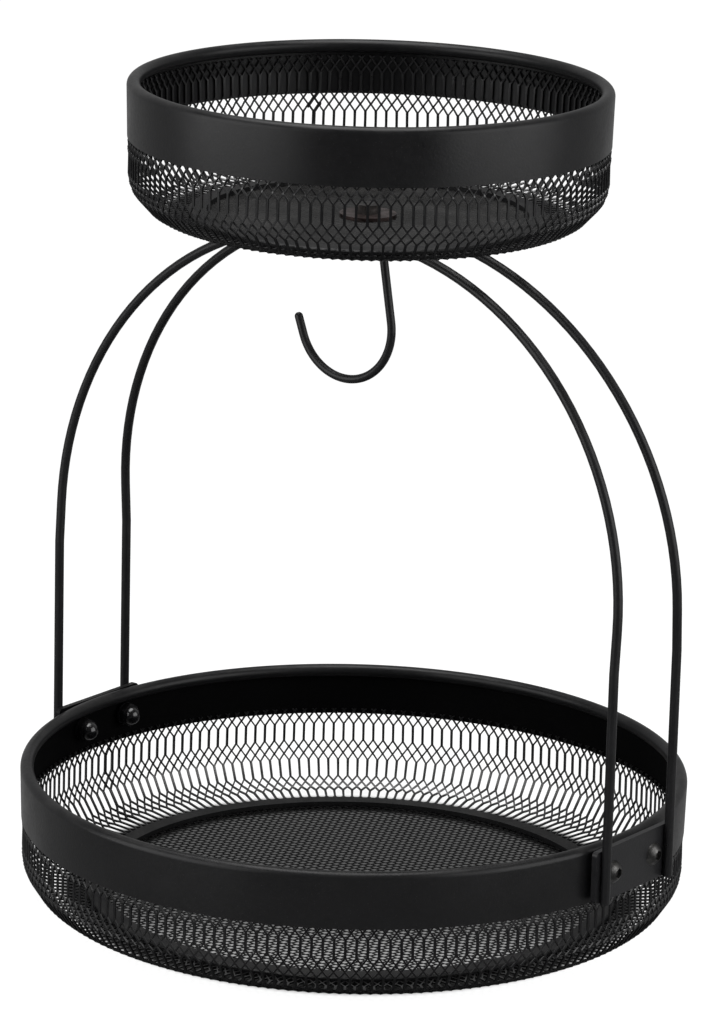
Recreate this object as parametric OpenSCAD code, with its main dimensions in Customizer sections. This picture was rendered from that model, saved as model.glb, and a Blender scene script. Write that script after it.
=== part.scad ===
// Two-tier fruit bowl with a banana hanger
// A wide bowl stands on the table. Two bent wire arches are welded to plates that are
// screwed to its rim, and they carry a smaller bowl and a wire hook on one centre bolt.
// Both bowls are expanded-metal mesh under a plain rolled rim, held flat by a base ring.

/* [Bowls] */
// Outside diameter of the lower bowl's rim
lower_rim_d = 300; // [270:1:330]
// Outside diameter of the upper bowl's rim
upper_rim_d = 212; // [190:1:230]
// Height of each bowl, from its base to the top of its rim
bowl_h = 61.5; // [56:0.5:80]
// Height from the lower bowl's rim to the upper bowl's rim
tier_rise = 310.5; // [290:0.5:360]

/* [Rim bands] */
// Height of the plain band that edges each bowl
band_h = 25.2; // [22:0.2:28]
// Thickness of the band's sheet
band_t = 0.6; // [0.5:0.05:0.8]
// Width of the roll along the band's top
roll_w = 6; // [5:0.2:6.6]
// Turn of the roll, from the outer face over the top and down the inside
roll_turn = 285; // [200:5:300]
// How much the band's lower edge lies inside its top
band_draft = 0.5; // [0:0.1:1]

/* [Mesh walls] */
// Thickness of the expanded sheet
mesh_t = 0.6; // [0.4:0.05:0.8]
// Outer radius of the bend from the wall to the floor
corner_r = 23.1; // [18:0.1:26]
// Height of the mesh that is tucked up inside the band
mesh_tuck = 6; // [4:0.5:7.5]
// Clearance between the top of the tuck and the band
tuck_gap = 0.05; // [0.02:0.01:0.2]
// Number of windows round each wall
window_count = 40; // [30:1:40]
// Rows of windows down each wall
window_rows = 3; // [2:1:3]
// Length of the straight side of a window
window_straight = 9.6; // [8:0.1:10.4]
// Height of the point at each end of a window
window_point = 4.6; // [3:0.1:5]
// Width of the metal left between windows
web_w = 2.2; // [1.8:0.1:4]
// Distance from one row of windows to the next, along the wall
row_step = 15.2; // [14.8:0.1:16]
// Distance from a band's lower edge to the middle of the first row
first_row = 9.2; // [8.8:0.1:10.5]

/* [Floor mesh] */
// Long way of a floor opening's cell
cell_l = 36; // [32:1:44]
// Short way of a floor opening's cell
cell_w = 22; // [20:1:28]
// Width of the floor's strands
strand_w = 2.6; // [1.5:0.1:4]
// Angle from the front to the cells' long way
cell_angle = 26.6; // [0:0.1:90]
// Radius round the centre bolt that is left without openings
boss_r = 14; // [13:0.5:20]

/* [Base rings] */
// Flat floor between the lower bowl's base ring and the bend
lower_ring_margin = 5.3; // [1:0.1:12]
// Flat floor between the upper bowl's base ring and the bend
upper_ring_margin = 3.3; // [1:0.1:12]
// Width of both base rings
ring_w = 8; // [6:0.5:12]
// Thickness of the ring inside the bowl
ring_t = 2; // [1.5:0.1:3]
// Radius along the ring's outer top edge
ring_edge_r = 0.9; // [0.3:0.1:1.2]
// Thickness of the ring under the bowl
foot_t = 1.2; // [0.8:0.1:2]
// How far the ring under the bowl is set in at both edges
foot_inset = 1; // [0.5:0.1:2]
// Gap between the wall's flange and the floor's edge, under the ring
flange_gap = 0.5; // [0.2:0.1:1]

/* [Wire arches] */
// Diameter of the arches' wire
arch_wire_d = 4.2; // [3.6:0.1:5]
// Straight length of wire at an arch's crown
arch_crown_run = 13.2; // [4:0.2:60]
// Distance from the centre to an arch's upright legs, front to back
arch_foot_y = 24; // [22:0.1:26]
// Distance from the centre to an arch's crown, front to back
arch_crown_y = 14.5; // [13:0.1:16]
// Straight wire between a leg's knee, where the arch starts to lean inwards, and the shoulder
arch_run = 18.6; // [5:0.1:60]
// Length of wire below the bracket plate
arch_stub = 0; // [0:0.1:4]

/* [Bracket plates] */
// Width of a bracket plate
bracket_w = 57; // [56:0.5:64]
// Height of a bracket plate
bracket_h = 23.6; // [22:0.1:27]
// Thickness of a bracket plate
bracket_t = 2.5; // [1.5:0.1:3]
// Depth of a bracket plate's top below the top of the rim
bracket_drop = 0.9; // [0:0.1:2]
// Radius of a bracket plate's corners
bracket_corner_r = 2; // [0.5:0.1:4]
// Distance from a bracket screw to the leg beside it
screw_inset = 8.7; // [8:0.1:12]

/* [Fasteners] */
// Thread diameter of every screw and bolt
thread_d = 6; // [5:1:6]
// Diameter of the clearance holes
hole_d = 6.4; // [6.2:0.1:6.8]
// Gap between a thread and its nut, on the radius
thread_gap = 0.05; // [0.02:0.01:0.1]
// Diameter of a bracket screw's head
button_d = 10.4; // [10:0.1:11]
// Height of a bracket screw's head
button_h = 3.3; // [3:0.1:3.5]
// Width across the flats of a bracket screw's socket
socket_af = 4; // [3:0.5:4]
// Depth of a bracket screw's socket
socket_depth = 2; // [1:0.1:2.4]
// Diameter of a bracket washer
washer_d = 11; // [10:0.1:11.4]
// Thickness of a bracket washer
washer_t = 1; // [0.8:0.1:2]
// Width across the flats of every nut and of the bolt's head
nut_af = 10; // [9:0.5:10]
// Height of the centre nut
nut_h = 5; // [4:0.1:6]
// Height of a dome nut's hexagon
dome_hex_h = 3.2; // [2.6:0.1:4]
// Height of a dome nut, with its dome
dome_nut_h = 7.8; // [7.5:0.1:12]
// Diameter of a dome nut's dome
dome_d = 9; // [8:0.1:9.5]

/* [Centre fixing] */
// Length of the crown plate along the arches
crown_l = 44; // [36:0.5:60]
// Width of the crown plate across the arches
crown_w = 42; // [40:0.5:50]
// Thickness of the crown plate
crown_t = 3.2; // [2:0.1:4]
// Radius of the crown plate's corners
crown_corner_r = 6; // [1:0.5:10]
// Diameter of the washer inside the upper bowl
centre_washer_d = 25; // [18:0.5:25]
// Thickness of the washer inside the upper bowl
centre_washer_t = 1.5; // [1:0.1:2]
// Height of the centre bolt's head
bolt_head_h = 4; // [3:0.1:5]
// Length of the centre bolt under its head
bolt_l = 20; // [18:1:25]

/* [Banana hook] */
// Diameter of the hook's wire
hook_wire_d = 3.8; // [3.4:0.1:4]
// Radius of the eye round the centre bolt, to the middle of the wire
eye_r = 5.2; // [5.1:0.1:6]
// Turn of the eye
eye_turn = 280; // [240:5:280]
// Straight run of wire from the eye to the bend
hook_run = 5.4; // [4.5:0.1:8]
// Radius of the bend under the crown plate
hook_bend_r = 7; // [5:0.1:10]
// Lean of the hook's shank away from the upright
hook_lean = 10; // [5:1:15]
// Length of the hook's straight shank
hook_shank = 33; // [20:0.5:60]
// Radius of the hook's bowl, to the middle of the wire
hook_r = 25; // [18:0.5:32]
// Turn of the hook's bowl
hook_turn = 170; // [150:5:200]
// Straight run of wire at the hook's tip
hook_tip = 8; // [2:0.5:15]

/* [Hidden] */

// Facets round a bowl, round a small part and round a wire
BOWL_FN = 144;
SMALL_FN = 32;
WIRE_FN = 24;
// Sides of the hook's wire, and steps round its eye, its bend and its bowl
WIRE_SIDES = 16;
EYE_STEPS = 16;
BEND_STEPS = 8;
BOWL_STEPS = 20;
// Extra length by which a cutter passes each face
CUT = 1;
// How far the ball that joins the wire at a knee stands out of the wire
KNEE_OVER = 0.02;

BLACK = [0.10, 0.10, 0.11];
RING_BLACK = [0.16, 0.16, 0.17];
MESH_BLACK = [0.13, 0.13, 0.14];
SCREW_STEEL = [0.30, 0.27, 0.25];

lower_r = lower_rim_d / 2;
upper_r = upper_rim_d / 2;
roll_r = roll_w / 2;
arch_wire_r = arch_wire_d / 2;
hook_wire_r = hook_wire_d / 2;
thread_r = thread_d / 2;
washer_r = washer_d / 2;

// Outside diameters of the base rings, which lie on the flat floor inside the bend
lower_ring_d = 2 * (corner_centre(lower_r)[0] - lower_ring_margin);
upper_ring_d = 2 * (corner_centre(upper_r)[0] - upper_ring_margin);

// Heights above the table
upper_z = tier_rise;
mesh_top = foot_t + mesh_t;
band_bottom = bowl_h - band_h;
band_straight = band_h - roll_r;
bracket_top = bowl_h - bracket_drop;
bracket_mid = bracket_top - bracket_h / 2;
crown_top = upper_z + foot_t;
crown_bottom = crown_top - crown_t;
arch_crown_z = crown_bottom - arch_wire_r;
arch_foot_z = bracket_top - bracket_h - arch_stub;
hook_eye_z = crown_bottom - hook_wire_r;
centre_nut_top = crown_bottom - hook_wire_d;

// Middle of the hook's bend, along X and up, where the wire leaves the eye's plane
hook_bend_centre = [hook_run, hook_eye_z - hook_bend_r];

// The bracket plates are tangent to the rim, and the arches lie on their outer faces
bracket_x = lower_r;
arch_leg_x = bracket_x + bracket_t + arch_wire_r;
arch_crown_half = arch_crown_run / 2;
shoulder_r = arch_leg_x - arch_crown_half;
arch_lean = asin((arch_foot_y - arch_crown_y) / (shoulder_r + arch_run));
arch_knee_z = arch_crown_z - (shoulder_r + arch_run) * cos(arch_lean);

// A bracket washer lies flat against the inside of the curved band
screw_y = arch_foot_y - screw_inset;
washer_low_z = bracket_mid - washer_r;
washer_x = sqrt(pow(band_inner_r(lower_r, washer_low_z), 2) - pow(screw_y + washer_r, 2));
screw_l = bracket_x + bracket_t - washer_x + washer_t + dome_hex_h;

// Top of the tucked mesh, which stays below the bracket washers
tuck_top = min(band_bottom + mesh_tuck, washer_low_z - tuck_gap);

// A bracket screw's hole is cut this long, through the plate and the band together
screw_hole_l = 4 * bracket_t;

// Radius of a rim band's inner face at a height in its bowl
function band_inner_r(rim_r, z) =
    rim_r - band_t - band_draft * (bowl_h - roll_r - z) / band_straight;

// Radius of the mesh below the band, to its outer face
function wall_r(rim_r) = rim_r - band_draft - band_t;

// Middle of the bend between the wall and the floor
function corner_centre(rim_r) = [wall_r(rim_r) - corner_r, foot_t + corner_r];

// Length of the upright stretch of wall below the band
function upright_l() = band_bottom - foot_t - corner_r;

// Radius of the middle of the sheet in the bend
function corner_mid_r() = corner_r - mesh_t / 2;

// Angle that the wall has turned through at a distance down from the band
function wall_turn(s) = s < upright_l() ? 0 : (s - upright_l()) / corner_mid_r() * 180 / PI;

// Point in the middle of the sheet, radius and height, at a distance down from the band
function wall_point(rim_r, s) =
    s < upright_l()
    ? [wall_r(rim_r) - mesh_t / 2, band_bottom - s]
    : corner_centre(rim_r) + corner_mid_r() * [cos(wall_turn(s)), -sin(wall_turn(s))];

// Flat shape with rounded corners, centred on the origin
module rounded_rectangle(l, w, r) {
    square([l, w - 2 * r], center = true);
    square([l - 2 * r, w], center = true);
    for (x = [-1, 1], y = [-1, 1])
        translate([x * (l / 2 - r), y * (w / 2 - r)]) circle(r, $fn = SMALL_FN);
}

// Sector of a disc, from the X axis through an angle of more than a half turn
module wide_sector(r, turn) {
    difference() {
        circle(r, $fn = SMALL_FN);
        polygon([
            [0, 0],
            3 * r * [cos(turn), sin(turn)],
            3 * r * [cos((turn + 360) / 2), sin((turn + 360) / 2)],
            [3 * r, 0]
        ]);
    }
}

// Rim band: a slightly tapered sheet with its top edge rolled inwards
module rim_band(rim_r) {
    roll_z = bowl_h - roll_r;
    rotate_extrude($fn = BOWL_FN) {
        polygon([
            [rim_r - band_draft, band_bottom],
            [rim_r, roll_z],
            [rim_r - band_t, roll_z],
            [rim_r - band_draft - band_t, band_bottom]
        ]);
        translate([rim_r - roll_r, roll_z]) difference() {
            wide_sector(roll_r, roll_turn);
            circle(roll_r - band_t, $fn = SMALL_FN);
        }
    }
}

// Section of a mesh wall, from the tuck inside the band down to the flange under the ring
module wall_section(rim_r, ring_d) {
    r = wall_r(rim_r);
    bend = corner_centre(rim_r);
    tuck_r = band_inner_r(rim_r, tuck_top) - tuck_gap;
    polygon([
        [r, band_bottom],
        [tuck_r, tuck_top],
        [tuck_r - mesh_t, tuck_top],
        [r - mesh_t, band_bottom]
    ]);
    translate([r - mesh_t, bend[1]]) square([mesh_t, upright_l()]);
    translate(bend) intersection() {
        difference() {
            circle(corner_r, $fn = BOWL_FN);
            circle(corner_r - mesh_t, $fn = BOWL_FN);
        }
        translate([0, -corner_r]) square(corner_r);
    }
    translate([flange_r(ring_d), foot_t]) square([bend[0] - flange_r(ring_d), mesh_t]);
}

// Radius of the wall flange's inner edge, half way under the base ring
function flange_r(ring_d) = (ring_d - ring_w) / 2 + flange_gap / 2;

// Six-sided window cut square through the wall, at a distance down from the band
module window_cutter(rim_r, s) {
    at = wall_point(rim_r, s);
    side = at[0] * PI / window_count - web_w / 2;
    straight = window_straight / 2;
    tip = straight + window_point - web_w / 2;
    translate([at[0], 0, at[1]])
        rotate([0, 90 + wall_turn(s), 0])
            linear_extrude(2 * corner_r / 3, center = true)
                polygon([
                    [-tip, 0], [-straight, side], [straight, side],
                    [tip, 0], [straight, -side], [-straight, -side]
                ]);
}

// Mesh wall: the bent sheet with its staggered rows of windows
module mesh_wall(rim_r, ring_d) {
    difference() {
        rotate_extrude($fn = BOWL_FN) wall_section(rim_r, ring_d);
        for (row = [0 : window_rows - 1], k = [0 : window_count - 1])
            rotate([0, 0, (k + row / 2) * 360 / window_count])
                window_cutter(rim_r, first_row + row * row_step);
    }
}

// Base ring inside the bowl, a flat ring with a rounded outer top edge
module base_ring(ring_d) {
    r = ring_d / 2;
    rotate_extrude($fn = BOWL_FN) {
        translate([r - ring_w, mesh_top]) square([ring_w, ring_t - ring_edge_r]);
        translate([r - ring_w, mesh_top]) square([ring_w - ring_edge_r, ring_t]);
        translate([r - ring_edge_r, mesh_top + ring_t - ring_edge_r])
            circle(ring_edge_r, $fn = SMALL_FN);
    }
}

// Ring under the bowl that clamps the mesh from below and stands on the table
module foot_ring(ring_d) {
    r = ring_d / 2;
    rotate_extrude($fn = BOWL_FN)
        translate([r - ring_w + foot_inset, 0]) square([ring_w - 2 * foot_inset, foot_t]);
}

// Diamond opening of the floor mesh
module floor_opening() {
    l = cell_l - strand_w * cell_l / cell_w;
    w = cell_w - strand_w;
    polygon([[-l / 2, 0], [0, w / 2], [l / 2, 0], [0, -w / 2]]);
}

// Floor mesh: a flat disc with staggered diamond openings, cut off round where they meet its rim
module floor_mesh(ring_d, solid_r) {
    edge_r = flange_r(ring_d) - flange_gap;
    open_r = ring_d / 2 - ring_w - strand_w;
    steps = ceil(2 * open_r / cell_w);
    translate([0, 0, foot_t]) linear_extrude(mesh_t) difference() {
        circle(edge_r, $fn = BOWL_FN);
        intersection() {
            circle(open_r, $fn = BOWL_FN);
            for (i = [-steps : steps], j = [-steps : steps]) {
                at = [i * cell_l / 2, j * cell_w / 2];
                if ((i + j) % 2 == 0 && norm(at) < open_r && norm(at) > solid_r + cell_w / 2)
                    rotate(cell_angle) translate(at) floor_opening();
            }
        }
    }
}

// Hexagon measured across its flats, with a flat facing +Y
module hexagon(af) {
    circle(af / sqrt(3), $fn = 6);
}

// The part of a wire arch above its knees, in its own upright plane, with the knees at height 0
module arch_in_plane() {
    for (side = [-1, 1]) {
        translate([side * arch_leg_x, 0, 0]) cylinder(arch_run, d = arch_wire_d, $fn = WIRE_FN);
        translate([side * arch_crown_half, 0, arch_run])
            rotate([90, 0, 0])
                rotate_extrude(angle = 90, start = side > 0 ? 0 : 90, $fn = BOWL_FN)
                    translate([shoulder_r, 0]) circle(d = arch_wire_d, $fn = WIRE_FN);
    }
    translate([-arch_crown_half, 0, arch_run + shoulder_r])
        rotate([0, 90, 0]) cylinder(2 * arch_crown_half, d = arch_wire_d, $fn = WIRE_FN);
}

// Wire arch in place: side is -1 for the front one and 1 for the rear one
module wire_arch(side) {
    for (leg = [-1, 1]) translate([leg * arch_leg_x, side * arch_foot_y, 0]) {
        translate([0, 0, arch_foot_z])
            cylinder(arch_knee_z - arch_foot_z, d = arch_wire_d, $fn = WIRE_FN);
        translate([0, 0, arch_knee_z]) sphere(arch_wire_r + KNEE_OVER, $fn = WIRE_FN);
    }
    translate([0, side * arch_foot_y, arch_knee_z])
        rotate([side * arch_lean, 0, 0]) arch_in_plane();
}

// Bracket plate in place: side is -1 for the left one and 1 for the right one
module bracket_plate(side) {
    difference() {
        translate([side * (bracket_x + bracket_t / 2), 0, bracket_mid])
            rotate([90, 0, 90])
                linear_extrude(bracket_t, center = true)
                    rounded_rectangle(bracket_w, bracket_h, bracket_corner_r);
        bracket_screw_holes(side);
    }
}

// The two clearance holes through a bracket plate and the band behind it
module bracket_screw_holes(side) {
    for (y = [-screw_y, screw_y])
        translate([side * bracket_x, y, bracket_mid])
            rotate([0, 90, 0]) cylinder(screw_hole_l, d = hole_d, center = true, $fn = SMALL_FN);
}

// Places a fastener whose axis is +Z at one of the four bracket screws, pointing outwards
module at_screw(side, end, x) {
    translate([side * x, end * screw_y, bracket_mid]) rotate([0, side * 90, 0]) children();
}

// Button-head screw with a hexagon socket, from its seat at height 0
module button_screw() {
    dome_sphere_r = (pow(button_d / 2, 2) + pow(button_h, 2)) / (2 * button_h);
    difference() {
        rotate_extrude($fn = SMALL_FN) {
            intersection() {
                translate([0, button_h - dome_sphere_r]) circle(dome_sphere_r, $fn = 2 * SMALL_FN);
                square([button_d / 2, button_h]);
            }
            translate([0, -screw_l]) square([thread_r - thread_gap, screw_l]);
        }
        translate([0, 0, button_h - socket_depth]) linear_extrude(socket_depth + CUT) hexagon(socket_af);
    }
}

// Plain washer from height 0 upwards
module plain_washer(d, t) {
    linear_extrude(t) difference() {
        circle(d = d, $fn = 2 * SMALL_FN);
        circle(d = hole_d, $fn = SMALL_FN);
    }
}

// Dome nut hanging below its seat at height 0
module dome_nut() {
    dome_r = dome_d / 2;
    difference() {
        union() {
            translate([0, 0, -dome_hex_h]) linear_extrude(dome_hex_h) hexagon(nut_af);
            translate([0, 0, dome_r - dome_nut_h]) intersection() {
                sphere(dome_r, $fn = SMALL_FN);
                translate([0, 0, -dome_r / 2]) cube([dome_d, dome_d, dome_r], center = true);
            }
            translate([0, 0, dome_r - dome_nut_h])
                cylinder(dome_nut_h - dome_r - dome_hex_h + CUT, d = dome_d, $fn = SMALL_FN);
        }
        translate([0, 0, -dome_hex_h - thread_gap])
            cylinder(dome_hex_h + thread_gap + CUT, r = thread_r, $fn = SMALL_FN);
    }
}

// Plain hexagon nut hanging below its seat at height 0
module hexagon_nut() {
    translate([0, 0, -nut_h]) linear_extrude(nut_h) difference() {
        hexagon(nut_af);
        circle(thread_r, $fn = SMALL_FN);
    }
}

// A station on the hook's wire: its middle, its direction, the sideways direction and the radius there
function eye_station(a) = [
    [eye_r * cos(a), eye_r * sin(a), hook_eye_z],
    [-sin(a), cos(a), 0],
    [cos(a), sin(a), 0],
    hook_wire_r
];

// Station on an arc in the hook's own upright plane, at an angle above the X axis
function plane_station(centre, r, a) = [
    [centre[0] + r * cos(a), -eye_r, centre[1] + r * sin(a)],
    [sin(a), 0, -cos(a)],
    [0, -1, 0],
    hook_wire_r
];

// Station on the round tip, at an angle up from where the wire starts to close
function tip_station(base, a) = [
    base[0] + (hook_tip + hook_wire_r * sin(a)) * base[1],
    base[1],
    base[2],
    hook_wire_r * cos(a)
];

// Ring of points round a station
function station_ring(s) = [
    for (k = [0 : WIRE_SIDES - 1])
        s[0] + s[3] * (cos(k * 360 / WIRE_SIDES) * s[2] + sin(k * 360 / WIRE_SIDES) * cross(s[1], s[2]))
];

// Tube through a list of stations, with flat ends
module wire_through(stations) {
    last = len(stations) - 1;
    polyhedron(
        points = [for (s = stations) each station_ring(s)],
        faces = [
            [for (k = [0 : WIRE_SIDES - 1]) k],
            for (i = [0 : last - 1], k = [0 : WIRE_SIDES - 1])
                let (
                    a = i * WIRE_SIDES + k,
                    b = i * WIRE_SIDES + (k + 1) % WIRE_SIDES
                )
                each [[a, a + WIRE_SIDES, b], [b, a + WIRE_SIDES, b + WIRE_SIDES]],
            [for (k = [WIRE_SIDES - 1 : -1 : 0]) last * WIRE_SIDES + k]
        ]
    );
}

// Wire hook: an eye round the centre bolt, a bend, a leaning shank, a round bowl and a round tip
module hook_wire() {
    shank_top = hook_bend_centre + hook_bend_r * [cos(hook_lean), sin(hook_lean)];
    shank_end = shank_top + hook_shank * [sin(hook_lean), -cos(hook_lean)];
    bowl_centre = shank_end - hook_r * [cos(hook_lean), sin(hook_lean)];
    bowl_end = plane_station(bowl_centre, hook_r, hook_lean - hook_turn);
    wire_through(concat(
        [for (i = [0 : EYE_STEPS]) eye_station(270 - eye_turn * (1 - i / EYE_STEPS))],
        [for (i = [0 : BEND_STEPS])
            plane_station(hook_bend_centre, hook_bend_r, 90 - (90 - hook_lean) * i / BEND_STEPS)],
        [for (i = [0 : BOWL_STEPS])
            plane_station(bowl_centre, hook_r, hook_lean - hook_turn * i / BOWL_STEPS)],
        [for (a = [0 : 30 : 60]) tip_station(bowl_end, a)],
        [tip_station(bowl_end, 85)]
    ));
}

module lower_rim_band() {
    color(BLACK) difference() {
        rim_band(lower_r);
        for (side = [-1, 1]) bracket_screw_holes(side);
    }
}

module lower_mesh_wall() {
    color(MESH_BLACK) mesh_wall(lower_r, lower_ring_d);
}

module lower_base_ring() {
    color(RING_BLACK) base_ring(lower_ring_d);
}

module lower_foot_ring() {
    color(BLACK) foot_ring(lower_ring_d);
}

module lower_floor_mesh() {
    color(MESH_BLACK) floor_mesh(lower_ring_d, -cell_l);
}

module upper_rim_band() {
    color(BLACK) translate([0, 0, upper_z]) rim_band(upper_r);
}

module upper_mesh_wall() {
    color(MESH_BLACK) translate([0, 0, upper_z]) mesh_wall(upper_r, upper_ring_d);
}

module upper_base_ring() {
    color(RING_BLACK) translate([0, 0, upper_z]) base_ring(upper_ring_d);
}

module upper_foot_ring() {
    color(BLACK) translate([0, 0, upper_z]) foot_ring(upper_ring_d);
}

module upper_floor_mesh() {
    color(MESH_BLACK) translate([0, 0, upper_z]) difference() {
        floor_mesh(upper_ring_d, boss_r);
        cylinder(2 * mesh_top, d = hole_d, $fn = SMALL_FN);
    }
}

module front_wire_arch() {
    color(BLACK) wire_arch(-1);
}

module rear_wire_arch() {
    color(BLACK) wire_arch(1);
}

module left_bracket_plate() {
    color(BLACK) bracket_plate(-1);
}

module right_bracket_plate() {
    color(BLACK) bracket_plate(1);
}

module crown_plate() {
    color(BLACK) translate([0, 0, crown_bottom]) linear_extrude(crown_t) difference() {
        rounded_rectangle(crown_l, crown_w, crown_corner_r);
        circle(d = hole_d, $fn = SMALL_FN);
    }
}

// One bracket screw, washer or dome nut: side is left or right, end is front or rear
module bracket_screw(side, end) {
    color(SCREW_STEEL) at_screw(side, end, bracket_x + bracket_t) button_screw();
}

module bracket_washer(side, end) {
    color(BLACK) at_screw(side, end, washer_x - washer_t) plain_washer(washer_d, washer_t);
}

module bracket_dome_nut(side, end) {
    color(BLACK) at_screw(side, end, washer_x - washer_t) dome_nut();
}

module centre_bolt() {
    seat_z = upper_z + mesh_top + centre_washer_t;
    color(SCREW_STEEL) translate([0, 0, seat_z]) {
        linear_extrude(bolt_head_h) hexagon(nut_af);
        translate([0, 0, -bolt_l]) cylinder(bolt_l, r = thread_r - thread_gap, $fn = SMALL_FN);
    }
}

module centre_washer() {
    color(SCREW_STEEL) translate([0, 0, upper_z + mesh_top]) plain_washer(centre_washer_d, centre_washer_t);
}

module centre_nut() {
    color(SCREW_STEEL) translate([0, 0, centre_nut_top]) hexagon_nut();
}

module banana_hook() {
    color(BLACK) hook_wire();
}

lower_rim_band();
lower_mesh_wall();
lower_base_ring();
lower_foot_ring();
lower_floor_mesh();
upper_rim_band();
upper_mesh_wall();
upper_base_ring();
upper_foot_ring();
upper_floor_mesh();
front_wire_arch();
rear_wire_arch();
left_bracket_plate();
right_bracket_plate();
crown_plate();
bracket_screw(-1, -1);  // left_front_screw
bracket_screw(-1, 1);  // left_rear_screw
bracket_screw(1, -1);  // right_front_screw
bracket_screw(1, 1);  // right_rear_screw
bracket_washer(-1, -1);  // left_front_washer
bracket_washer(-1, 1);  // left_rear_washer
bracket_washer(1, -1);  // right_front_washer
bracket_washer(1, 1);  // right_rear_washer
bracket_dome_nut(-1, -1);  // left_front_dome_nut
bracket_dome_nut(-1, 1);  // left_rear_dome_nut
bracket_dome_nut(1, -1);  // right_front_dome_nut
bracket_dome_nut(1, 1);  // right_rear_dome_nut
centre_bolt();
centre_washer();
centre_nut();
banana_hook();
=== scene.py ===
"""Two-tier fruit bowl with a banana hanger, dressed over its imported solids.

The expanded-metal walls and floors, the rolled bands and the wire hook are modelled here at full
detail. Every other part keeps its solid and gets its finish. Sizes of pieces are in millimetres, and
those of the studio are in metres.
"""

import logging
import math
from collections.abc import Callable, Iterable
from dataclasses import dataclass, field
from enum import Enum

import bmesh
import bpy
from bpy.types import Material, Node, NodeSocket, Object
from mathutils import Matrix, Vector


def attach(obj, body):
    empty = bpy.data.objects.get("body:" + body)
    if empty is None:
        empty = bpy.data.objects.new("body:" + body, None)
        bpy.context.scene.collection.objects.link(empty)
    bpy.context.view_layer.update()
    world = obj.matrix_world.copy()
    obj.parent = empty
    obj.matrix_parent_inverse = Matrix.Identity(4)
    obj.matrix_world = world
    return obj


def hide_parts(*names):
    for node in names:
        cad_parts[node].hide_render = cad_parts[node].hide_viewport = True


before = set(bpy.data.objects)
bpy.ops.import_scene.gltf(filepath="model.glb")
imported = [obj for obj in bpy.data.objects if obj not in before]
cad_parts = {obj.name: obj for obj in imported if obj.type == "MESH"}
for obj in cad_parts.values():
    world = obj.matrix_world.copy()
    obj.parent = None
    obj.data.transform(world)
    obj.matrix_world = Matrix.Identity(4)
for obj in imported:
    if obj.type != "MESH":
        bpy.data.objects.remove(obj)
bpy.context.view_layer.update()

LOG = logging.getLogger("fruit_bowl")
MM = 0.001

Colour = tuple[float, float, float]
Place = tuple[float, float, float]
Span = tuple[float, float]

# How close the points of flat cells are to merge, and how near its place a knot's face is found
CELL_MERGE = 0.01
KNOT_REACH = 0.2
# How close the points of a finished mesh are to merge, in metres, and its sharpest smooth angle
MESH_MERGE = 0.00001
MESH_SMOOTH = 35
DUST_COLOUR = (0.16, 0.155, 0.15)
WHITE = (1.0, 1.0, 1.0)


class Pick(Enum):
    """Which kind of mesh element a selection is made of."""

    VERT = "VERT"
    EDGE = "EDGE"
    FACE = "FACE"


class Tier(Enum):
    """The two bowls, by the prefix of their nodes' names."""

    LOWER = "lower"
    UPPER = "upper"


def make_active(obj: Object) -> None:
    """Makes obj the only selected and active object.

    Args:
        obj: The object to work on next.
    """
    bpy.ops.object.select_all(action="DESELECT")
    obj.select_set(True)
    bpy.context.view_layer.objects.active = obj


def deselect_nodes() -> None:
    """Leaves nothing selected, so that the next operator acts on new geometry only."""
    bpy.ops.object.select_all(action="DESELECT")
    bpy.context.view_layer.objects.active = None


def pick(obj: Object, kind: Pick, test: Callable[[Vector], bool]) -> int:
    """Selects elements of the mesh in edit mode by their place.

    Args:
        obj: The object in edit mode.
        kind: The kind of element to select.
        test: Says whether an element with its middle at that point is selected.

    Returns:
        How many elements the test chose.
    """
    bpy.ops.mesh.select_mode(type=kind.value)
    bpy.ops.mesh.select_all(action="DESELECT")
    sheet = bmesh.from_edit_mesh(obj.data)
    count = 0
    if kind is Pick.VERT:
        middles = [(vert, vert.co) for vert in sheet.verts]
    elif kind is Pick.EDGE:
        middles = [(edge, (edge.verts[0].co + edge.verts[1].co) / 2) for edge in sheet.edges]
    else:
        middles = [(face, face.calc_center_median()) for face in sheet.faces]
    for element, middle in middles:
        if test(middle):
            element.select_set(True)
            count += 1
    bmesh.update_edit_mesh(obj.data)
    return count


def near(*places: Vector, reach: float = 0.02) -> Callable[[Vector], bool]:
    """A test that is true close to any of some places.

    Args:
        places: The places.
        reach: How close a point has to be.

    Returns:
        The test, to pass to pick.
    """
    return lambda point: any((point - place).length < reach for place in places)


def apply_modifier(obj: Object, kind: str, **settings: object) -> None:
    """Adds a modifier, sets it and applies it.

    Args:
        obj: The object that gets the modifier.
        kind: The modifier's type.
        settings: The modifier's properties.
    """
    make_active(obj)
    modifier = obj.modifiers.new(kind.title(), kind)
    for name, value in settings.items():
        setattr(modifier, name, value)
    bpy.ops.object.modifier_apply(modifier=modifier.name)


def weld_and_face_out(obj: Object, distance: float) -> None:
    """Merges doubled vertices, drops loose ones and makes the normals agree.

    Args:
        obj: The object to clean.
        distance: How close two vertices are to be merged.
    """
    make_active(obj)
    bpy.ops.object.mode_set(mode="EDIT")
    bpy.ops.mesh.select_mode(type="VERT")
    bpy.ops.mesh.select_all(action="SELECT")
    bpy.ops.mesh.remove_doubles(threshold=distance)
    bpy.ops.mesh.delete_loose()
    bpy.ops.mesh.select_all(action="SELECT")
    bpy.ops.mesh.normals_make_consistent(inside=False)
    bpy.ops.object.mode_set(mode="OBJECT")


def move_points(obj: Object, place: Callable[[Vector], Vector]) -> None:
    """Moves every vertex of a mesh.

    Args:
        obj: The object, in object mode.
        place: Gives a vertex's new place from its old one.
    """
    for vert in obj.data.vertices:
        vert.co = place(vert.co.copy())
    obj.data.update()


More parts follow.
